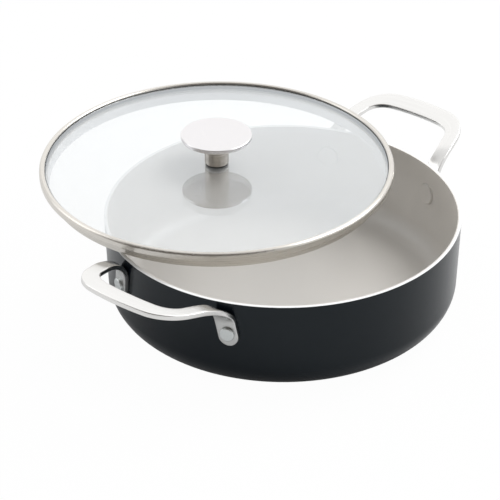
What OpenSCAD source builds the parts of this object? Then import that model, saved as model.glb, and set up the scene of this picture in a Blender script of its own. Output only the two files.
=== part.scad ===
// Braising pan: a wide shallow aluminium pan with two bent strap handles, and a flat
// glass lid with a rolled steel band and a disc knob. The lid lies on the rim, pushed
// aside, as it does when the pan is left ajar.
// Millimetres, +Z up. X runs through the two handles. The origin is the centre of the
// base plate's underside.

/* [Pan] */
// Outer radius of the pan at its rim
rim_r = 143; // [110:1:170]
// Height of the rim above the surface that the pan stands on
rim_z = 81; // [75:1:110]
// How much narrower the wall is at its foot than at the rim
wall_draft = 1.4; // [0:0.1:4]
// Thickness of the aluminium wall
wall_t = 2.6; // [2:0.1:4]
// Thickness of the aluminium floor
floor_t = 5; // [4.5:0.1:8]
// Outer radius of the corner between wall and floor
corner_r = 24; // [20:1:25]
// Inner radius of that corner
inner_corner_r = 17; // [16:1:20]
// Thickness of the ceramic lining
lining_t = 0.4; // [0.3:0.1:0.6]

/* [Base plate] */
// Width of the flat underside left round the steel induction plate
plate_margin = 9.6; // [4:0.2:20]
// Thickness of the plate
plate_t = 2; // [1.5:0.1:3]
// How far the plate stands below the pan's underside
plate_proud = 0.6; // [0.3:0.1:1]
// Number of ring grooves in the plate's underside
plate_rings = 4; // [2:1:6]
// Width of a ring groove
groove_w = 1.6; // [1:0.1:3]
// Depth of a ring groove
groove_d = 0.4; // [0.2:0.1:0.8]

/* [Handles] */
// Thickness of the strap
strap_t = 4; // [3:0.1:5]
// Radius that eases the strap's edges
strap_edge_r = 1.2; // [0.6:0.1:1.4]
// Width of the strap at the middle of the grip
grip_w = 17.3; // [14:0.1:20]
// Width of the strap along its legs
leg_w = 12; // [9:0.1:14]
// Width of the lug that is riveted to the wall
lug_w = 16.2; // [15:0.1:20]
// Reach of the grip's centreline beyond the rim
grip_reach = 48.6; // [42:0.2:60]
// Radius of the grip's slight bow, seen from above
bow_r = 200; // [150:5:300]
// Half length of the bowed grip, seen from above
grip_half = 24.4; // [20:0.2:28]
// Radius of the bend between grip and leg, seen from above
bend_r = 25; // [20:0.5:28]
// How much the legs close in towards the grip, in degrees
leg_angle = 13.2; // [8:0.2:18]
// Height of the grip's top face above the rim
grip_rise = 14; // [8:0.5:20]
// Upward slope of the strap away from the pan, in degrees
strap_slope = 12.6; // [5:0.2:16]
// Lean of each lug away from the handle's middle, in degrees
lug_lean = 8; // [0:0.5:12]
// Length of the lug below the rivet, beyond its own half width
lug_toe = 3; // [1:0.1:5]
// Depth below the rim at which the lug starts to bend towards the leg
turn_drop = 16.5; // [14:0.5:17]
// Distance beyond the rim at which the leg starts to bend towards the lug
turn_reach = 17; // [14:0.5:20]

/* [Rivets] */
// Half the distance between a handle's two rivets
rivet_span = 53.1; // [50:0.1:56]
// Height of the rivets below the rim
rivet_drop = 25.5; // [24:0.5:28]
// Radius of a rivet's shank
shank_r = 2.8; // [2:0.1:3.5]
// Radius of the head outside the pan
outer_head_r = 5.8; // [4.5:0.1:6.5]
// Height of the head outside the pan
outer_head_h = 2.2; // [1.5:0.1:3]
// Radius of the head inside the pan
inner_head_r = 8.6; // [6:0.1:9]
// Height of the head inside the pan
inner_head_h = 1.8; // [1.2:0.1:2.5]

/* [Lid] */
// How far the lid's steel band reaches over the outside of the rim when it is closed
band_overhang = 2.3; // [1.5:0.1:4]
// Thickness of the band's sheet steel
band_t = 0.8; // [0.6:0.1:1]
// Height of the band's rolled top above the glass
crown_h = 1.8; // [1.6:0.1:2]
// Height of the lip that drops into the pan
lip_h = 8.8; // [6:0.1:12]
// Radial gap between the lip and the pan's lining when the lid is closed
lip_clearance = 0.7; // [0.4:0.1:1.5]
// How much narrower the lip is at its foot than at its root
lip_draft = 1; // [0:0.1:2]
// Width of the rolled top over the glass
roll_w = 4.6; // [4.3:0.1:6]
// Radius of the band's upper outer shoulder
shoulder_r = 2.3; // [2:0.1:2.3]
// Thickness of the glass
glass_t = 3.4; // [2.5:0.1:5]
// Thickness of the silicone seal round the glass
seal_t = 0.4; // [0.3:0.05:0.45]

/* [Knob] */
// Radius of the knob's disc cap
cap_r = 29; // [24:0.5:34]
// Thickness of the cap
cap_t = 3.4; // [2.5:0.1:5]
// Height of the cap's top above the glass
knob_h = 27; // [22:0.5:34]
// Radius of the stem
stem_r = 9.9; // [8:0.1:12]
// Thickness of the silicone washers above and below the glass
gasket_t = 1.2; // [0.8:0.1:2]
// Radius of the hole through the glass
glass_hole_r = 4.5; // [4.2:0.1:6]
// Radius of the screw's shank
screw_r = 2.5; // [2:0.1:3]
// Radius of the screw's head
screw_head_r = 5; // [4.5:0.1:6]
// Height of the screw's head
screw_head_h = 2.6; // [2:0.1:3.5]
// Radius of the steel washer under the glass
washer_r = 9; // [7.5:0.1:9.5]
// Thickness of that washer
washer_t = 1.2; // [0.8:0.1:2]

/* [Where the lid lies] */
// Shift of the lid along the handles
lid_x = 6.8; // [-8:0.1:8]
// Shift of the lid across the handles
lid_y = 74.1; // [60:0.1:90]
// Gap between the lip's foot and the rim
lid_gap = 0.3; // [0.2:0.05:0.5]

/* [Hidden] */
$fn = 144;

// One overrun serves all cuts, and one clearance serves the parts that are set in others
overrun = 1;
fit_gap = 0.05;

// Levels and radii of the pan
under_z = plate_proud;
floor_z = under_z + floor_t;
foot_r = rim_r - wall_draft;
foot_z = under_z + corner_r;
draft_angle = atan(wall_draft / (rim_z - foot_z));
plate_r = foot_r - corner_r - plate_margin;
rivet_z = rim_z - rivet_drop;
rivet_angle = asin(rivet_span / rim_r);
arc_steps = 16;

// Levels of the lid, from the foot of its lip
lid_z = rim_z + lid_gap;
lip_root_r = rim_r - wall_t - lining_t - lip_clearance;
lip_foot_r = lip_root_r - lip_draft;
band_r = rim_r + band_overhang;
shelf_top = lip_h + band_t;
glass_low = shelf_top + seal_t;
glass_top = glass_low + glass_t;
glass_r = band_r - band_t - seal_t - fit_gap;
band_h = glass_top + crown_h;
roll_in_r = band_r - roll_w;
roll_r = crown_h - seal_t;
shelf_edge_r = 1;

// Levels of the knob, from the foot of the lid's lip
stem_low = glass_top + gasket_t;
cap_low = glass_top + knob_h - cap_t;
cap_seat = 0.8;
cap_edge_r = 0.7;
stem_edge_r = 0.6;
head_edge_r = 0.9;

// How the strap is drawn: stations along each stretch, and points round each corner of
// its section
tip_stations = 6;
turn_stations = 12;
leg_stations = 4;
bend_stations = 10;
grip_stations = 4;
section_steps = 2;
lug_seat = 0.3;
// The round tip starts at this angle, just off the point
tip_start = 14;
lug_tail = lug_w / 2 + lug_toe;
grip_end_share = 0.965;
edge_limit_share = 0.9;
// How strongly the turn's inner and outer edges follow the lug, and then the leg
turn_lug_shares = [0.4, 0.24];
turn_leg_shares = [0.57, 0.49];

// Shares of the knob's fixing
bore_share = 0.6;
screw_share = 0.5;
recess_w_share = 0.22;
recess_l_share = 1.1;
recess_d_share = 0.5;

function wall_r_at(z) = rim_r - (rim_z - z) * tan(draft_angle);
function unit3(a) = a / norm(a);
function mix(a, b, s) = a + (b - a) * s;
function ease(s) = s <= 0 ? 0 : s >= 1 ? 1 : s * s * (3 - 2 * s);
function arc_points(c, r, a0, a1, steps) =
    [for (i = [0 : steps]) c + r * [cos(mix(a0, a1, i / steps)), sin(mix(a0, a1, i / steps))]];

// The pan's inner surface from the rim down to the middle, and its outer surface back up;
// a gap moves the inner one inwards
function inner_surface(gap) = concat(
    [[rim_r - wall_t - gap, rim_z]],
    arc_points([foot_r - wall_t - inner_corner_r, floor_z + inner_corner_r],
               inner_corner_r - gap, 0, -90, arc_steps),
    [[0, floor_z + gap]]);

function outer_surface() = concat(
    [[0, under_z]],
    arc_points([foot_r - corner_r, foot_z], corner_r, -90, 0, arc_steps),
    [[rim_r, rim_z]]);

// Everything outside the pan's inner surface, for trimming what sits against it
module wall_shell() {
    low = floor_z + inner_corner_r;
    rotate_extrude() polygon([
        [foot_r - wall_t, low], [wall_r_at(low), low], [rim_r, rim_z], [rim_r - wall_t, rim_z]]);
}

// Everything inside the pan's outer surface over the height of the wall
module wall_core() {
    translate([0, 0, foot_z]) cylinder(h = rim_z - foot_z, r1 = foot_r, r2 = rim_r);
}

// Puts its children at a rivet: local +Z points out of the wall, and z = 0 is the wall's outside
module at_rivet(side, hand) {
    rotate([0, 0, (side > 0 ? 0 : 180) + hand * rivet_angle])
        translate([wall_r_at(rivet_z), 0, rivet_z])
            rotate([0, 90 + draft_angle, 0])
                children();
}

module at_all_rivets() {
    for (side = [-1, 1])
        for (hand = [-1, 1])
            at_rivet(side, hand) children();
}

// A round head with an eased edge: its base at z = 0, its crown at z = h
module button(r, h, edge) {
    rotate_extrude() polygon(concat(
        [[0, 0], [r, 0]], arc_points([r - edge, h - edge], edge, 0, 90, 5), [[0, h]]));
}

// The inner head, grown by a skin, from inside the wall towards the pan's middle
module inner_head(skin) {
    translate([0, 0, -wall_t + overrun])
        mirror([0, 0, 1])
            button(inner_head_r + skin, inner_head_h + skin + overrun, head_edge_r + skin);
}

module pan_body() {
    color([0.13, 0.14, 0.16]) difference() {
        rotate_extrude() polygon(concat(outer_surface(), inner_surface(0)));
        translate([0, 0, under_z - overrun])
            cylinder(h = plate_t - plate_proud + overrun, r = plate_r + fit_gap);
        at_all_rivets()
            translate([0, 0, -wall_t - overrun]) cylinder(h = wall_t + 2 * overrun, r = shank_r + fit_gap);
    }
}

// The lining covers the inside up to the rim, and the inner rivet heads with it
module ceramic_lining() {
    wall_side = inner_surface(0);
    color([0.74, 0.71, 0.66]) difference() {
        union() {
            rotate_extrude() polygon(concat(inner_surface(lining_t),
                [for (i = [len(wall_side) - 1 : -1 : 0]) wall_side[i]]));
            difference() {
                at_all_rivets() inner_head(lining_t);
                wall_shell();
            }
        }
        at_all_rivets() inner_head(0);
    }
}

module base_plate() {
    ring_pitch = plate_r / (plate_rings + 1);
    color([0.62, 0.62, 0.63]) difference() {
        cylinder(h = plate_t, r = plate_r);
        for (i = [1 : plate_rings])
            translate([0, 0, -overrun]) difference() {
                cylinder(h = groove_d + overrun, r = i * ring_pitch + groove_w);
                cylinder(h = groove_d + overrun, r = i * ring_pitch);
            }
    }
}

// Strap. Seen from above, the grip is a slight bow, then comes a tight bend, then a
// straight leg. Its top face lies in one plane, which rises away from the pan.
grip_x = rim_r + grip_reach;
bow_angle = asin(grip_half / bow_r);
bow_end = [grip_x - bow_r * (1 - cos(bow_angle)), grip_half];
bend_c = bow_end - bend_r * [cos(bow_angle), sin(bow_angle)];
leg_end = bend_c + bend_r * [sin(leg_angle), cos(leg_angle)];
leg_start_x = rim_r + turn_reach;
strap_k = tan(strap_slope);

function strap_mid_z(x) = rim_z + grip_rise - (grip_x - x) * strap_k - strap_t / 2 / cos(strap_slope);

// A station is [centre, direction across the strap, direction through it, width]
function flat_station(p, across, w) =
    [[p[0], p[1], strap_mid_z(p[0])], unit3([across[0], across[1], strap_k * across[0]]),
     unit3([-strap_k, 0, 1]), w];

function grip_rows() = [for (i = [grip_stations : -1 : 0])
    let (s = i / grip_stations, a = s * bow_angle)
    flat_station([grip_x - bow_r * (1 - cos(a)), bow_r * sin(a)], [cos(a), sin(a)],
                 mix(grip_w, grip_w * grip_end_share, s))];

function bend_rows() = [for (i = [bend_stations : -1 : 1])
    let (s = i / bend_stations, a = mix(bow_angle, 90 - leg_angle, s))
    flat_station(bend_c + bend_r * [cos(a), sin(a)], [cos(a), sin(a)],
                 mix(grip_w * grip_end_share, leg_w, ease(s)))];

function leg_rows() = [for (i = [0 : leg_stations - 1])
    let (x = mix(leg_start_x, leg_end[0], i / leg_stations))
    flat_station([x, leg_end[1] + (leg_end[0] - x) * tan(leg_angle)],
                 [sin(leg_angle), cos(leg_angle)], leg_w)];

// The lug lies on the wall, leans outwards towards its foot, and ends in a round tip
out_dir = [cos(rivet_angle), sin(rivet_angle), 0];
side_dir = [-sin(rivet_angle), cos(rivet_angle), 0];
lug_up = unit3(cos(lug_lean) * [0, 0, 1] - sin(lug_lean) * side_dir
    + cos(lug_lean) * tan(draft_angle) * out_dir);
lug_across = unit3(cos(lug_lean) * side_dir + sin(lug_lean) * [0, 0, 1]);
lug_c = out_dir * (wall_r_at(rivet_z) + strap_t / 2 - lug_seat) + [0, 0, rivet_z];
lug_inward = unit3(cross(lug_up, lug_across));

function lug_station(h, w) = [lug_c + lug_up * h, lug_across, lug_inward, w];
function tip_rows() = [for (i = [0 : tip_stations])
    let (a = mix(tip_start, 90, i / tip_stations))
    lug_station(-lug_tail + lug_w / 2 * (1 - cos(a)), lug_w * sin(a))];

// In the turn between lug and leg each edge of the strap is one cubic curve
leg_dir = unit3([cos(leg_angle), -sin(leg_angle), strap_k * cos(leg_angle)]);
lug_top = lug_station(rivet_drop - turn_drop, lug_w);
function edge_of(row, e) = row[0] + row[1] * (e == 0 ? -1 : 1) * row[3] / 2;
turn_edges = [for (e = [0, 1])
    let (a = edge_of(lug_top, e), b = edge_of(leg_rows()[0], e), reach = norm(b - a) / sqrt(2))
    [a, a + lug_up * reach * turn_lug_shares[e], b - leg_dir * reach * turn_leg_shares[e], b]];
function cubic(p, s) = p[0] * pow(1 - s, 3) + 3 * p[1] * pow(1 - s, 2) * s
    + 3 * p[2] * (1 - s) * s * s + p[3] * pow(s, 3);
function cubic_dir(p, s) = unit3((p[1] - p[0]) * pow(1 - s, 2) + 2 * (p[2] - p[1]) * (1 - s) * s
    + (p[3] - p[2]) * s * s);
function turn_rows() = [for (i = [0 : turn_stations - 1])
    let (s = i / turn_stations,
         inner = cubic(turn_edges[0], s),
         outer = cubic(turn_edges[1], s),
         along = cubic_dir((turn_edges[0] + turn_edges[1]) / 2, s),
         across = unit3(outer - inner))
    [(inner + outer) / 2, across, unit3(cross(along, across)), norm(outer - inner)]];

function half_rows() = concat(tip_rows(), turn_rows(), leg_rows(), bend_rows(), grip_rows());
function flip(v) = [v[0], -v[1], v[2]];
function strap_rows() = let (h = half_rows()) concat(h,
    [for (i = [len(h) - 2 : -1 : 0]) [flip(h[i][0]), flip(h[i][1]), flip(h[i][2]), h[i][3]]]);

// Corners of the strap's section, each eased by a quarter circle
function section(w) = [for (q = [0 : 3]) for (j = [0 : section_steps])
    let (a = 90 * (q + j / section_steps),
         e = min(strap_edge_r, w / 2 * edge_limit_share),
         sx = q == 0 || q == 3 ? 1 : -1,
         sy = q < 2 ? 1 : -1)
    [sx * (w / 2 - e) + e * cos(a), sy * (strap_t / 2 - e) + e * sin(a)]];

module sweep(rows) {
    n = len(section(leg_w));
    points = [for (r = rows) for (p = section(r[3])) r[0] + r[1] * p[0] + r[2] * p[1]];
    sides = [for (i = [0 : len(rows) - 2]) for (j = [0 : n - 1])
        let (a = i * n + j, b = i * n + (j + 1) % n, c = a + n, d = b + n)
        each [[a, c, b], [b, c, d]]];
    last = (len(rows) - 1) * n;
    polyhedron(points, concat(sides, [[for (j = [0 : n - 1]) j], [for (j = [n - 1 : -1 : 0]) last + j]]));
}

module handle() {
    difference() {
        sweep(strap_rows());
        wall_core();
        for (hand = [-1, 1])
            at_rivet(1, hand)
                translate([0, 0, -overrun]) cylinder(h = strap_t + 2 * overrun, r = shank_r + fit_gap);
    }
}

module left_handle() {
    color([0.80, 0.79, 0.77]) rotate([0, 0, 180]) handle();
}

module right_handle() {
    color([0.80, 0.79, 0.77]) handle();
}

// A set rivet: the shank, the outer head on the lug and the inner head on the wall
module rivet(side, hand) {
    lug_face = strap_t - lug_seat;
    color([0.72, 0.73, 0.73]) {
        difference() {
            at_rivet(side, hand) inner_head(0);
            wall_shell();
        }
        at_rivet(side, hand) {
            translate([0, 0, -wall_t - inner_head_h / 2])
                cylinder(h = wall_t + inner_head_h / 2 + lug_face + outer_head_h / 2, r = shank_r);
            translate([0, 0, lug_face]) button(outer_head_r, outer_head_h, head_edge_r);
        }
    }
}

module rivet_left_front() { rivet(-1, 1); }
module rivet_left_back() { rivet(-1, -1); }
module rivet_right_front() { rivet(1, -1); }
module rivet_right_back() { rivet(1, 1); }

module at_lid() {
    translate([lid_x, lid_y, lid_z]) children();
}

module lid_glass() {
    color([0.85, 0.92, 0.93, 0.35]) at_lid() translate([0, 0, glass_low]) difference() {
        cylinder(h = glass_t, r = glass_r);
        translate([0, 0, -overrun]) cylinder(h = glass_t + 2 * overrun, r = glass_hole_r);
    }
}

// The band is one strip of sheet: lip, shelf under the glass, wall and rolled top
function band_line(gap) = concat(
    [[lip_foot_r - gap, 0], [lip_root_r - gap, lip_h + gap]],
    arc_points([band_r - shelf_edge_r, lip_h + shelf_edge_r], shelf_edge_r - gap, -90, 0, 5),
    arc_points([band_r - shoulder_r, band_h - shoulder_r], shoulder_r - gap, 0, 90, 8),
    arc_points([roll_in_r + roll_r, band_h - roll_r], roll_r - gap, 90, 180, 8));

module lid_band() {
    outside = band_line(0);
    inside = band_line(band_t);
    color([0.66, 0.64, 0.60]) at_lid() rotate_extrude()
        polygon(concat(outside, [for (i = [len(inside) - 1 : -1 : 0]) inside[i]]));
}

// The seal wraps the edge of the glass and fills the band's channel
module lid_seal() {
    in_r = roll_in_r - seal_t;
    out_r = band_r - band_t;
    bevel = shelf_edge_r - band_t;
    top = glass_top + seal_t;
    bend_c = [band_r - shoulder_r, band_h - shoulder_r];
    bend_r = shoulder_r - band_t;
    color([0.16, 0.16, 0.16]) at_lid() rotate_extrude() polygon(concat(
        [[in_r, shelf_top], [out_r - bevel, shelf_top], [out_r, shelf_top + bevel]],
        arc_points(bend_c, bend_r, 0, asin((top - bend_c[1]) / bend_r), 3),
        [[in_r, top], [in_r, glass_top], [glass_r, glass_top], [glass_r, glass_low], [in_r, glass_low]]));
}

module knob_cap() {
    color([0.88, 0.87, 0.86]) at_lid() translate([0, 0, cap_low]) difference() {
        rotate_extrude() polygon(concat(
            [[0, 0]],
            arc_points([cap_r - cap_edge_r, cap_edge_r], cap_edge_r, -90, 0, 4),
            arc_points([cap_r - cap_edge_r, cap_t - cap_edge_r], cap_edge_r, 0, 90, 4),
            [[0, cap_t]]));
        translate([0, 0, -overrun]) cylinder(h = cap_seat + overrun, r = stem_r + fit_gap);
    }
}

module knob_stem() {
    bore_h = (cap_low - stem_low) * bore_share;
    color([0.62, 0.59, 0.55]) at_lid() translate([0, 0, stem_low]) difference() {
        rotate_extrude() polygon(concat(
            [[0, 0]],
            arc_points([stem_r - stem_edge_r, stem_edge_r], stem_edge_r, -90, 0, 4),
            [[stem_r, cap_low - stem_low + cap_seat], [0, cap_low - stem_low + cap_seat]]));
        translate([0, 0, -overrun]) cylinder(h = bore_h + overrun, r = screw_r + fit_gap);
    }
}

module knob_gasket() {
    color([0.08, 0.08, 0.09]) at_lid() translate([0, 0, glass_top]) difference() {
        cylinder(h = gasket_t, r = stem_r - stem_edge_r);
        translate([0, 0, -overrun]) cylinder(h = gasket_t + 2 * overrun, r = screw_r + fit_gap);
    }
}

// The lower gasket has a sleeve that keeps the screw off the glass
module lower_gasket() {
    color([0.08, 0.08, 0.09]) at_lid() difference() {
        union() {
            translate([0, 0, glass_low - gasket_t]) cylinder(h = gasket_t, r = washer_r + seal_t);
            translate([0, 0, glass_low - gasket_t])
                cylinder(h = gasket_t + glass_t - fit_gap, r = glass_hole_r - fit_gap);
        }
        translate([0, 0, glass_low - gasket_t - overrun])
            cylinder(h = gasket_t + glass_t + 2 * overrun, r = screw_r + fit_gap);
    }
}

module knob_washer() {
    color([0.70, 0.70, 0.70]) at_lid() translate([0, 0, glass_low - gasket_t - washer_t]) difference() {
        cylinder(h = washer_t, r = washer_r);
        translate([0, 0, -overrun]) cylinder(h = washer_t + 2 * overrun, r = screw_r + fit_gap);
    }
}

// A pan-head screw with a cross recess, from below through the glass into the stem
module knob_screw() {
    head_top = glass_low - gasket_t - washer_t;
    shank_h = stem_low + (cap_low - stem_low) * screw_share - head_top;
    recess_w = screw_head_r * recess_w_share;
    recess_l = screw_head_r * recess_l_share;
    recess_d = screw_head_h * recess_d_share;
    color([0.75, 0.75, 0.75]) at_lid() translate([0, 0, head_top]) difference() {
        union() {
            cylinder(h = shank_h, r = screw_r);
            mirror([0, 0, 1]) button(screw_head_r, screw_head_h, head_edge_r);
        }
        for (a = [0, 90])
            rotate([0, 0, a]) translate([-recess_l / 2, -recess_w / 2, -screw_head_h - overrun])
                cube([recess_l, recess_w, recess_d + overrun]);
    }
}

pan_body();
ceramic_lining();
base_plate();
left_handle();
right_handle();
rivet_left_front();
rivet_left_back();
rivet_right_front();
rivet_right_back();
lid_band();
lid_seal();
knob_cap();
knob_stem();
knob_gasket();
lower_gasket();
knob_washer();
knob_screw();
lid_glass();
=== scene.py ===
import math

import bpy
import numpy as np
from mathutils import Matrix, Vector

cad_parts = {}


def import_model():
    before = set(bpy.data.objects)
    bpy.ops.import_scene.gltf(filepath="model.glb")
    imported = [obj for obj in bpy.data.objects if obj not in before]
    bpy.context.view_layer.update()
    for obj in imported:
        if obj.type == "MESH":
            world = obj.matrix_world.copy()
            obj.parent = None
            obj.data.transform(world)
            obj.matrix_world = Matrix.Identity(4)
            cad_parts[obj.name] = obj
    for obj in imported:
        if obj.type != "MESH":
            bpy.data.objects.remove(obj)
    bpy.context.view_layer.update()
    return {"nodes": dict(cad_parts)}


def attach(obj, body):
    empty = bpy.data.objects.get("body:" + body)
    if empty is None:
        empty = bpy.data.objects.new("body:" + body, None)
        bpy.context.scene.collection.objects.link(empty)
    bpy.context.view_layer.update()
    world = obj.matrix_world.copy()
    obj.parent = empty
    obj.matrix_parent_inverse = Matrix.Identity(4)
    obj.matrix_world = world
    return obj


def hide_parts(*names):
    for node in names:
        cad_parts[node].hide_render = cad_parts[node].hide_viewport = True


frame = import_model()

scene = bpy.context.scene
nodes = frame["nodes"]

# Sizes of the solids that the finishes follow, in metres
MM = 0.001
RIM_R, RIM_Z = 143 * MM, 81 * MM
LID_X, LID_Y = 6.8 * MM, 74.1 * MM
LIP_TOP = RIM_Z + 9.1 * MM

# Width of the photo's bright ring on the rim
BARE_RIM = 2.0 * MM

# The ways up, away from the camera and to its right, and the middle of what it looks at
UP = Vector((0.0, 0.0, 1.0))
BACK = Vector((0.787, 0.617, 0.0))
RIGHT = Vector((0.617, -0.787, 0.0))
MIDDLE = Vector((0.0, 0.05, 0.08))


# Node trees

def rgb(r, g, b):
    return (r, g, b, 1.0)


class Tree:
    """One material and its nodes. An input given as a socket is linked, and anything else is its value."""

    def __init__(self, name):
        self.mat = bpy.data.materials.new(name)
        self.mat.use_nodes = True
        self.tree = self.mat.node_tree
        self.tree.nodes.clear()
        self.out = self.tree.nodes.new("ShaderNodeOutputMaterial")

    def node(self, kind, inputs=(), **props):
        n = self.tree.nodes.new("ShaderNode" + kind)
        for k, v in props.items():
            setattr(n, k, v)
        for k, v in dict(inputs).items():
            self.put(n.inputs[k], v)
        return n

    def put(self, socket, v):
        if isinstance(v, bpy.types.NodeSocket):
            self.tree.links.new(v, socket)
        else:
            socket.default_value = v

    def maths(self, op, a, b=0.0, c=0.0):
        return self.node("Math", {0: a, 1: b, 2: c}, operation=op).outputs[0]

    def dot(self, a, b):
        return self.node("VectorMath", {0: a, 1: b}, operation="DOT_PRODUCT").outputs["Value"]

    def ramp(self, value, start, end, to_start=0.0, to_end=1.0):
        """A value that goes from to_start to to_end while the given one goes from start to end."""
        ends = {"Value": value, "From Min": start, "From Max": end, "To Min": to_start, "To Max": to_end}
        return self.node("MapRange", ends).outputs[0]

    def follow(self, pattern, low=0.0, high=1.0):
        """A value that goes from low to high over the middle range of a noise pattern."""
        return self.ramp(pattern, 0.3, 0.7, low, high)

    def mix(self, share, a, b):
        n = self.node("Mix", data_type="RGBA")
        self.put(n.inputs[0], share)
        self.put(n.inputs[6], a)
        self.put(n.inputs[7], b)
        return n.outputs[2]

    def mix_shader(self, share, a, b):
        return self.node("MixShader", {0: share, 1: a.outputs[0], 2: b.outputs[0]})

    def noise(self, vector, scale, detail, rough, w=None):
        n = self.node("TexNoise", {"Vector": vector, "Scale": scale, "Detail": detail, "Roughness": rough})
        if w is not None:
            n.noise_dimensions = "4D"
            self.put(n.inputs["W"], w)
        return n.outputs["Fac"]

    def bump(self, height, strength, distance=0.03 * MM):
        return self.node("Bump", {"Height": height, "Strength": strength, "Distance": distance}).outputs[0]

    def place(self):
        """Position in the row frame at rest, and its height."""
        p = self.node("TexCoord").outputs["Object"]
        return p, self.node("SeparateXYZ", {0: p}).outputs[2]

    def round(self, cx=0.0, cy=0.0):
        """Direction round an upright axis as a unit vector, and distance from it and height."""
        s = self.node("SeparateXYZ", {0: self.place()[0]})
        x = self.maths("SUBTRACT", s.outputs[0], cx)
        y = self.maths("SUBTRACT", s.outputs[1], cy)
        flat = self.node("CombineXYZ", {0: x, 1: y, 2: 0.0}).outputs[0]
        r = self.node("VectorMath", {0: flat}, operation="LENGTH").outputs["Value"]
        way = self.node("VectorMath", {0: flat}, operation="NORMALIZE").outputs[0]
        return way, r, s.outputs[2]

    def turned(self, cx=0.0, cy=0.0, fine=2600.0, along=1.4, seed=0.0):
        """Streaks that run round an upright axis, as turning or brushing leaves them."""
        way, r, z = self.round(cx, cy)
        w = self.maths("MULTIPLY_ADD", self.maths("ADD", r, z), fine, seed)
        low = self.node("VectorMath", {0: way, 3: along}, operation="SCALE").outputs[0]
        return self.noise(low, 1.0, 4.0, 0.6, w=w)

    def tangent(self, cx=0.0, cy=0.0):
        """Direction along the brush lines that run round an upright axis."""
        way = self.round(cx, cy)[0]
        return self.node("VectorMath", {0: UP, 1: way}, operation="CROSS_PRODUCT").outputs[0]

    def seen(self, ray):
        """1 for what the eye sees, straight or through the glass, and 0 for light and reflections."""
        return self.maths("MAXIMUM", ray.outputs["Is Camera Ray"], ray.outputs["Is Transmission Ray"])

    def finish(self, shader):
        self.put(self.out.inputs[0], shader.outputs[0])

    def principled(self, inputs):
        self.finish(self.node("BsdfPrincipled", inputs))
        return self.mat


def shade(name, colours, pattern_of, roughs, metallic=1.0, bump=0.12, depth=0.03 * MM):
    """A material whose colour, roughness and relief all follow one pattern."""
    t = Tree(name)
    s = pattern_of(t)
    return t.principled({"Base Color": t.mix(t.follow(s), *colours), "Roughness": t.follow(s, *roughs),
                         "Metallic": metallic, "Normal": t.bump(s, bump, depth)})


def grained(scale):
    """Even grain, the same in all directions."""
    return lambda t: t.noise(t.place()[0], scale, 4.0, 0.6)


# Materials

def coated_body():
    """Dark satin coating. The top of the wall is bare aluminium, with the lining's colour inside it."""
    t = Tree("body_coating")
    p, z = t.place()
    r = t.round()[1]
    grain = t.noise(p, 2200.0, 4.0, 0.65)
    broad = t.noise(p, 24.0, 3.0, 0.5)
    ring = t.turned(fine=3200.0, along=1.0)
    top = t.ramp(z, RIM_Z - 0.35 * MM, RIM_Z - 0.15 * MM)
    outer = t.ramp(r, RIM_R - BARE_RIM - 0.3 * MM, RIM_R - BARE_RIM)
    dark = t.mix(t.ramp(broad, 0.35, 0.65), rgb(0.0020, 0.0035, 0.0060), rgb(0.0035, 0.0052, 0.0080))
    dark = t.mix(t.ramp(grain, 0.35, 0.75, 0.0, 0.35), dark, rgb(0.006, 0.009, 0.013))
    bare = t.mix(t.follow(ring), rgb(0.86, 0.86, 0.86), rgb(0.95, 0.95, 0.95))
    rim = t.mix(outer, rgb(0.66, 0.625, 0.575), bare)
    return t.principled({
        "Base Color": t.mix(top, dark, rim),
        "Metallic": t.maths("MULTIPLY", t.maths("MULTIPLY", top, outer), 0.35),
        "Roughness": t.maths("MULTIPLY_ADD", top, -0.08, t.follow(grain, 0.20, 0.28)),
        "Normal": t.bump(grain, 0.10, 0.04 * MM),
        "Specular IOR Level": 0.25, "Specular Tint": rgb(0.84, 0.95, 1.0)})


def ceramic():
    """Light greige ceramic: smooth, with the faint speckle and orange peel of a sprayed coat."""
    t = Tree("ceramic")
    p = t.place()[0]
    broad = t.noise(p, 9.0, 2.0, 0.5)
    speck = t.noise(p, 1500.0, 2.0, 0.6)
    peel = t.noise(p, 420.0, 3.0, 0.5)
    col = t.mix(broad, rgb(0.660, 0.630, 0.588), rgb(0.700, 0.670, 0.628))
    col = t.mix(t.ramp(speck, 0.58, 0.74, 0.0, 0.22), col, rgb(0.55, 0.515, 0.465))
    return t.principled({"Base Color": col, "Roughness": t.follow(peel, 0.30, 0.38),
                         "Normal": t.bump(peel, 0.04),
                         "Specular IOR Level": 0.75, "Specular Tint": rgb(0.84, 0.92, 1.0)})


def strap_steel():
    """Satin steel, brushed along the strap. On the lugs it is rougher, and its darker colour there is painted
    shade.

    The strap carries its length and width as a UV map.
    """
    t = Tree("handle_steel")
    uv = t.node("UVMap", uv_map="strap").outputs[0]
    fine = t.noise(t.node("Mapping", {"Vector": uv, "Scale": (14, 2600, 1)}).outputs[0], 1.0, 5.0, 0.65)
    soft = t.noise(t.node("Mapping", {"Vector": uv, "Scale": (9, 120, 1)}).outputs[0], 1.0, 2.0, 0.5)
    s = t.maths("MULTIPLY_ADD", fine, 0.7, t.maths("MULTIPLY", soft, 0.3))
    # Low on the strap, on the lugs: rougher, and painted darker as shade
    lug = t.ramp(t.place()[1], RIM_Z - 6 * MM, RIM_Z - 16 * MM)
    col = t.mix(t.ramp(s, 0.35, 0.65), rgb(0.67, 0.664, 0.652), rgb(0.74, 0.735, 0.722))
    # The lugs' darker grey is painted shade, not another steel
    return t.principled({"Base Color": t.mix(lug, col, rgb(0.52, 0.523, 0.515)), "Metallic": 1.0,
                         "Roughness": t.maths("MULTIPLY_ADD", lug, 0.06, t.follow(s, 0.20, 0.30)),
                         "Normal": t.bump(s, 0.12)})


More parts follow.
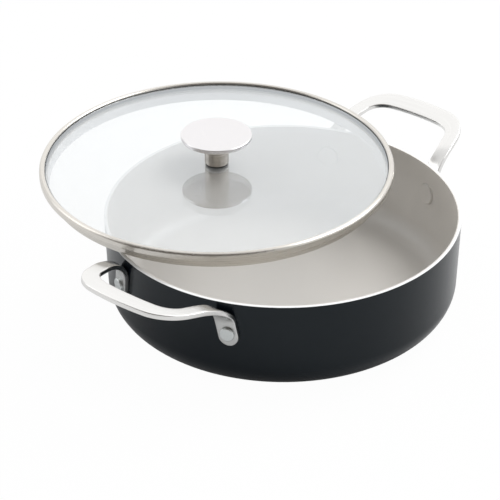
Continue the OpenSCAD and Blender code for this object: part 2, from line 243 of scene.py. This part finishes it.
def clear_glass():
    """Clear pane: it mirrors more at a slant, tints a little and carries a faint haze.

    To light that passes through it, it is only a tint.
    """
    t = Tree("lid_glass")
    facing = t.node("LayerWeight", {"Blend": 0.5}).outputs["Facing"]
    ray = t.node("LightPath")
    lit = t.maths("MAXIMUM", ray.outputs["Is Shadow Ray"], ray.outputs["Is Diffuse Ray"])
    looked_at = t.maths("SUBTRACT", 1.0, lit)
    smear = t.noise(t.place()[0], 14.0, 3.0, 0.55)
    clear = t.node("BsdfTransparent", {"Color": t.mix(lit, rgb(0.955, 0.945, 0.93), rgb(0.90, 0.905, 0.91))})
    haze = t.node("BsdfDiffuse", {"Color": rgb(0.89, 0.885, 0.865)})
    inner = t.mix_shader(t.maths("MULTIPLY", t.follow(smear, 0.20, 0.22), looked_at), clear, haze)
    gloss = t.node("BsdfGlossy", {"Color": rgb(0.88, 0.94, 1.0), "Roughness": t.follow(smear, 0.004, 0.010)})
    mirror = t.maths("MULTIPLY_ADD", t.maths("POWER", facing, 2.0), 0.70, 0.04)
    t.finish(t.mix_shader(t.maths("MULTIPLY", mirror, looked_at), inner, gloss))
    return t.mat


def band_steel():
    """Steel brushed along the band outside. The faces that look inwards are plain satin, and their lighter
    colour is a painted reflection.
    """
    t = Tree("band_steel")
    s = t.turned(LID_X, LID_Y, 3000.0, 1.6)
    way, r, z = t.round(LID_X, LID_Y)
    out = t.dot(t.node("NewGeometry").outputs["Normal"], way)
    inner = t.maths("MULTIPLY", t.ramp(out, -0.3, -0.7), t.ramp(z, LIP_TOP, LIP_TOP - 0.2 * MM))
    brushed = t.mix(t.follow(s), rgb(0.56, 0.535, 0.495), rgb(0.68, 0.655, 0.615))
    # Inward faces: lighter and half metallic as a painted reflection; their higher roughness and lack of
    # brushing are the finish
    satin = t.mix(t.follow(s), rgb(0.80, 0.80, 0.81), rgb(0.88, 0.88, 0.89))
    return t.principled({
        "Base Color": t.mix(inner, brushed, satin),
        "Metallic": t.maths("MULTIPLY_ADD", inner, -0.5, 1.0),
        "Roughness": t.maths("MULTIPLY_ADD", inner, 0.28, t.follow(s, 0.24, 0.32)),
        "Tangent": t.tangent(LID_X, LID_Y), "Anisotropic Rotation": 0.25,
        "Anisotropic": t.maths("MULTIPLY_ADD", inner, -0.85, 0.85),
        "Normal": t.bump(s, 0.12)})


def knob_steel(name, along, seed, colours, roughs):
    """Turned steel. Its upright faces smear reflections across the turning marks, its flat face doesn't."""
    t = Tree(name)
    s = t.turned(LID_X, LID_Y, 2300.0, along, seed)
    normal = t.node("SeparateXYZ", {0: t.node("NewGeometry").outputs["Normal"]})
    flat = t.maths("ABSOLUTE", normal.outputs[2])
    return t.principled({
        "Base Color": t.mix(t.follow(s), *colours), "Metallic": 1.0, "Roughness": t.follow(s, *roughs),
        "Tangent": t.tangent(LID_X, LID_Y), "Anisotropic Rotation": 0.25,
        "Anisotropic": t.ramp(flat, 0.3, 0.6, 0.85, 0.0),
        "Normal": t.bump(s, 0.12)})


STRAP = strap_steel()
RUBBER = shade("silicone", (rgb(0.010, 0.011, 0.012), rgb(0.022, 0.023, 0.025)), grained(900.0),
               (0.5, 0.65), metallic=0.0, bump=0.2)
CLEAR_RUBBER = shade("clear_silicone", (rgb(0.60, 0.62, 0.63), rgb(0.70, 0.72, 0.73)), grained(700.0),
                     (0.35, 0.45), metallic=0.0, bump=0.1)
SCREW = shade("screw_steel", (rgb(0.45, 0.45, 0.45), rgb(0.58, 0.58, 0.57)),
              lambda t: t.turned(LID_X, LID_Y, 2000.0), (0.28, 0.38))
RIVET = shade("rivet_metal", (rgb(0.54, 0.565, 0.565), rgb(0.64, 0.665, 0.66)), grained(1400.0), (0.30, 0.42))

FINISHES = {
    "pan_body": coated_body(),
    "ceramic_lining": ceramic(),
    "base_plate": shade("induction_steel", (rgb(0.36, 0.36, 0.37), rgb(0.52, 0.52, 0.53)),
                        lambda t: t.turned(fine=1500.0, along=0.8), (0.26, 0.38), bump=0.3, depth=0.05 * MM),
    "rivet_left_front": RIVET,
    "rivet_left_back": RIVET,
    "rivet_right_front": RIVET,
    "rivet_right_back": RIVET,
    "lid_glass": clear_glass(),
    "lid_band": band_steel(),
    "lid_seal": RUBBER,
    "knob_cap": knob_steel("knob_steel", 2.0, 3.0, (rgb(0.66, 0.646, 0.652), rgb(0.72, 0.706, 0.712)),
                           (0.20, 0.28)),
    "knob_stem": knob_steel("stem_steel", 0.4, 7.0, (rgb(0.44, 0.41, 0.37), rgb(0.54, 0.51, 0.47)),
                            (0.24, 0.28)),
    "knob_gasket": RUBBER,
    "lower_gasket": CLEAR_RUBBER,
    "knob_washer": SCREW,
    "knob_screw": SCREW,
}
for name, mat in FINISHES.items():
    nodes[name].data.materials.clear()
    nodes[name].data.materials.append(mat)


# The two handles: the solids' straps with sharper edges, a narrower lug and a finer turn.
# Sizes are in millimetres, and this is the strap on +X. A station is its centre, the ways
# across and through the strap, and its width.

RIM, RIM_H = RIM_R / MM, RIM_Z / MM
THICK, EDGE_R = 4.0, 0.7
GRIP_W, LEG_W, LUG_W = 17.3, 12.0, 15.8
GRIP_END_W = GRIP_W * 0.965
GRIP_X, GRIP_RISE, GRIP_HALF = RIM + 48.45, 14, 24.4
BOW_R, BEND_R = 200.0, 25.0
LEG_ANGLE, SLOPE, LEAN = map(math.radians, (13.2, 12.6, 11.0))
CLIMB = math.tan(SLOPE)
RIVET_Z, RIVET_SPAN = RIM_H - 25.5, 53.1
RIVET_ANGLE = math.asin(RIVET_SPAN / RIM)
WALL_DRAFT = 1.4 / 56.4
LUG_TOE, LUG_TOP, SUNK = 3.0, 9.0, 0.3
LEG_START = RIM + 20.5

# For the turn's inner and then its outer edge: its side, and how far it holds to the lug and the leg
TURN_EDGES = ((-1, 0.5, 0.85), (1, 0.37, 0.3))

# The grip's half angle and its end, the middle of the bend and where the leg meets it, from above
BOW_ANGLE = math.asin(GRIP_HALF / BOW_R)
GRIP_END = np.array([GRIP_X - BOW_R * (1 - math.cos(BOW_ANGLE)), GRIP_HALF])
BEND = GRIP_END - BEND_R * np.array([math.cos(BOW_ANGLE), math.sin(BOW_ANGLE)])
LEG_END = BEND + BEND_R * np.array([math.sin(LEG_ANGLE), math.cos(LEG_ANGLE)])

# Step of the strap's UV map from one point of its section to the next
UV_STEP = 1.2 * MM


def unit(v):
    return v / np.linalg.norm(v)


def ease(s):
    return s * s * (3 - 2 * s)


def level_station(x, y, angle, w):
    """Station of the sloping plane that holds grip, bends and legs."""
    z = RIM_H + GRIP_RISE - (GRIP_X - x) * CLIMB - THICK / 2 / math.cos(SLOPE)
    across = unit(np.array([math.cos(angle), math.sin(angle), CLIMB * math.cos(angle)]))
    return [np.array([x, y, z]), across, unit(np.array([-CLIMB, 0, 1.0])), w]


def grip_stations():
    """From the end of the bowed grip to its middle."""
    for s in np.linspace(1, 0, 9):
        a = s * BOW_ANGLE
        x, y = GRIP_X - BOW_R * (1 - math.cos(a)), BOW_R * math.sin(a)
        yield level_station(x, y, a, GRIP_W + (GRIP_END_W - GRIP_W) * s)


def bend_stations():
    """From the leg to the grip."""
    for s in np.linspace(1, 0, 25)[:-1]:
        a = BOW_ANGLE + (math.pi / 2 - LEG_ANGLE - BOW_ANGLE) * s
        x, y = BEND + BEND_R * np.array([math.cos(a), math.sin(a)])
        yield level_station(x, y, a, GRIP_END_W + (LEG_W - GRIP_END_W) * ease(s))


def leg_stations():
    """From the turn to the bend."""
    for x in np.linspace(LEG_START, LEG_END[0], 7)[:-1]:
        y = LEG_END[1] + (LEG_END[0] - x) * math.tan(LEG_ANGLE)
        yield level_station(x, y, math.pi / 2 - LEG_ANGLE, LEG_W)


def lug_stations():
    """From the lug's round tip to its top, and the way up along the lug."""
    out = np.array([math.cos(RIVET_ANGLE), math.sin(RIVET_ANGLE), 0])
    side = np.array([-math.sin(RIVET_ANGLE), math.cos(RIVET_ANGLE), 0])
    upright = np.array([0, 0, 1.0])
    up = unit(math.cos(LEAN) * (upright + WALL_DRAFT * out) - math.sin(LEAN) * side)
    across = unit(math.cos(LEAN) * side + math.sin(LEAN) * upright)
    inward = unit(np.cross(up, across))
    wall_r = RIM - (RIM_H - RIVET_Z) * WALL_DRAFT
    centre = out * (wall_r + THICK / 2 - SUNK) + upright * RIVET_Z
    half = LUG_W / 2
    tip = -half - LUG_TOE
    rows = [[centre + up * (tip + half * (1 - math.cos(a))), across, inward, LUG_W * math.sin(a)]
            for a in np.radians(np.linspace(9, 90, 16))]
    rows += [[centre + up * h, across, inward, LUG_W] for h in np.linspace(tip + half, LUG_TOP, 5)[1:]]
    return rows, up


def turn_stations(top, start, up):
    """From the lug's top to the leg's start. Both edges of the strap are Bezier curves."""
    leg_way = unit(np.array([math.cos(LEG_ANGLE), -math.sin(LEG_ANGLE), CLIMB * math.cos(LEG_ANGLE)]))
    edges = []
    for side, on_lug, on_leg in TURN_EDGES:
        a = top[0] + top[1] * side * top[3] / 2
        b = start[0] + start[1] * side * start[3] / 2
        reach = np.linalg.norm(b - a) / math.sqrt(2)
        edges.append([a, a + up * reach * on_lug, b - leg_way * reach * on_leg, b])
    mean = [(p + q) / 2 for p, q in zip(*edges)]
    for s in np.linspace(0, 1, 33)[:-1]:
        shares = ((1 - s) ** 3, 3 * (1 - s) ** 2 * s, 3 * (1 - s) * s * s, s ** 3)
        slopes = ((1 - s) ** 2, 2 * (1 - s) * s, s * s)
        inner, outer = [sum(k * p for k, p in zip(shares, edge)) for edge in edges]
        along = unit(sum(k * (q - p) for k, p, q in zip(slopes, mean, mean[1:])))
        across = unit(outer - inner)
        yield [(inner + outer) / 2, across, unit(np.cross(along, across)), np.linalg.norm(outer - inner)]


def strap_stations():
    """From one lug's tip to the other's."""
    lug, up = lug_stations()
    leg = list(leg_stations())
    half = lug[:-1] + list(turn_stations(lug[-1], leg[0], up)) + leg
    half += list(bend_stations()) + list(grip_stations())
    flip = np.array([1, -1, 1])
    return half + [[v * flip for v in row[:3]] + [row[3]] for row in half[-2::-1]]


def section(w):
    """Outline of the strap across its width: flats with eased edges."""
    e = min(EDGE_R, w / 2 * 0.9)
    pts = []
    for quarter, (sx, sy) in enumerate(((1, 1), (-1, 1), (-1, -1), (1, -1))):
        for j in range(7):
            a = math.radians(90 * (quarter + j / 6))
            pts.append((sx * (w / 2 - e) + e * math.cos(a), sy * (THICK / 2 - e) + e * math.sin(a)))
        if quarter in (0, 2):
            x, y = pts[-1]
            pts += [(x * (1 - 2 * f), y) for f in (0.25, 0.5, 0.75)]
    return pts


def strap(name, side, node):
    """One handle's mesh in place of its solid. The strap on -X is the one on +X after half a turn."""
    stations = strap_stations()
    n = len(section(LEG_W))
    verts, uvs = [], []
    run, last = 0.0, stations[0][0]
    for centre, across, through, w in stations:
        run += float(np.linalg.norm(centre - last)) * MM
        last = centre
        for j, (p, q) in enumerate(section(w)):
            x, y, z = (centre + across * p + through * q) * MM
            verts.append((x * side, y * side, z))
            uvs.append((run, j * UV_STEP))
    faces = []
    for ring in range(0, len(verts) - n, n):
        for j in range(n):
            a, b = ring + j, ring + (j + 1) % n
            faces.append((a, a + n, b + n, b))
    faces.append(tuple(range(n)))
    faces.append(tuple(reversed(range(len(verts) - n, len(verts)))))

    me = bpy.data.meshes.new(name)
    me.from_pydata(verts, [], faces)
    layer = me.uv_layers.new(name="strap")
    for poly in me.polygons:
        corners = [me.loops[k].vertex_index for k in poly.loop_indices]
        closes_ring = len(corners) == 4 and any(c % n == n - 1 for c in corners)
        for k, c in zip(poly.loop_indices, corners):
            u, v = uvs[c]
            layer.data[k].uv = (u, n * UV_STEP if closes_ring and c % n == 0 else v)
    me.validate()
    me.polygons.foreach_set("use_smooth", [True] * len(me.polygons))
    me.materials.append(STRAP)
    o = bpy.data.objects.new(name, me)
    scene.collection.objects.link(o)
    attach(o, "pan")
    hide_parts(node)


strap("right_strap", 1, "right_handle")
strap("left_strap", -1, "left_handle")


# Stage, lamps and camera

def stage_floor():
    """White to the eye, with a faint shadow. In reflections it is grey near the pan and white far off."""
    size, drop = 6.0, 0.2 * MM
    t = Tree("stage_white")
    ray = t.node("LightPath")
    far = t.ramp(t.round()[1], 0.22, 0.34, 0.05, 0.95)
    share = t.maths("MAXIMUM", t.maths("MULTIPLY", t.seen(ray), 0.975),
                    t.maths("MULTIPLY", ray.outputs["Is Glossy Ray"], far))
    paper = t.node("BsdfDiffuse", {"Color": rgb(0.90, 0.90, 0.90)})
    white = t.node("Emission", {"Color": rgb(1, 1, 1), "Strength": 1.0})
    t.finish(t.mix_shader(share, paper, white))
    me = bpy.data.meshes.new("floor")
    corners = [(sx * size, sy * size, -drop) for sx, sy in ((-1, -1), (1, -1), (1, 1), (-1, 1))]
    me.from_pydata(corners, [], [(0, 1, 2, 3)])
    me.materials.append(t.mat)
    o = bpy.data.objects.new("floor", me)
    scene.collection.objects.link(o)


class Sky(Tree):
    """The node tree of the world."""

    def __init__(self):
        scene.world = bpy.data.worlds.new("studio")
        scene.world.use_nodes = True
        self.tree = scene.world.node_tree
        self.tree.nodes.clear()
        self.out = self.tree.nodes.new("ShaderNodeOutputWorld")

    def background(self, colour):
        return self.node("Background", {"Color": colour, "Strength": 1.0})


def world():
    """White to the eye. As a light and in reflections it is bright behind and dim on the camera's side."""
    t = Sky()
    ray = t.node("LightPath")
    way = t.node("TexCoord").outputs["Generated"]
    behind, right = t.dot(way, BACK), t.dot(way, RIGHT)
    up = t.node("SeparateXYZ", {0: way}).outputs[2]
    side = t.maths("MULTIPLY_ADD", right, 0.10, behind)
    low = t.maths("MULTIPLY_ADD", up, -0.60, t.maths("MULTIPLY_ADD", right, 0.35, behind))
    light = t.background(t.mix(t.ramp(side, -0.8, 0.8), rgb(0.32, 0.32, 0.32), rgb(0.80, 0.81, 0.82)))
    mirrored = t.background(t.mix(t.ramp(low, -0.95, -0.45), rgb(0.17, 0.155, 0.14), rgb(1, 1, 1)))
    unseen = t.mix_shader(ray.outputs["Is Glossy Ray"], light, mirrored)
    t.finish(t.mix_shader(t.seen(ray), unseen, t.background(rgb(1, 1, 1))))


def aim(o, place, target):
    o.location = place
    o.rotation_mode = "QUATERNION"
    o.rotation_quaternion = (target - place).to_track_quat("-Z", "Y")
    scene.collection.objects.link(o)


def softbox(name, place, size, power, colour=(1, 1, 1)):
    d = bpy.data.lights.new(name, "AREA")
    d.shape = "RECTANGLE"
    d.size, d.size_y = size
    d.energy = power
    d.color = colour
    aim(bpy.data.objects.new(name, d), place, MIDDLE)


def camera():
    """The photo's camera, as its ellipses give it."""
    place, target = Vector((-1.0865, -0.8507, 0.8973)), Vector((-0.0162, 0.0207, 0.0425))
    roll = math.radians(-0.243)
    d = bpy.data.cameras.new("camera")
    d.sensor_width = 36
    d.lens = 144
    d.clip_start, d.clip_end = 0.05, 30
    o = bpy.data.objects.new("camera", d)
    aim(o, place, target)
    o.rotation_quaternion = o.rotation_quaternion @ Matrix.Rotation(roll, 4, "Z").to_quaternion()
    scene.camera = o


stage_floor()
world()
softbox("back_softbox", MIDDLE + BACK * 1.25 + RIGHT * 0.15 + UP * 0.82, (2.6, 1.6), 4.2, (1.0, 0.995, 0.99))
softbox("key_softbox", MIDDLE + RIGHT * 0.95 + BACK * 0.5 + UP * 1.3, (1.0, 1.0), 18.5)
softbox("fill_softbox", MIDDLE - RIGHT * 1.2 + BACK * 0.2 + UP * 0.9, (1.0, 1.0), 3.5)
camera()

scene.view_settings.view_transform = "Standard"
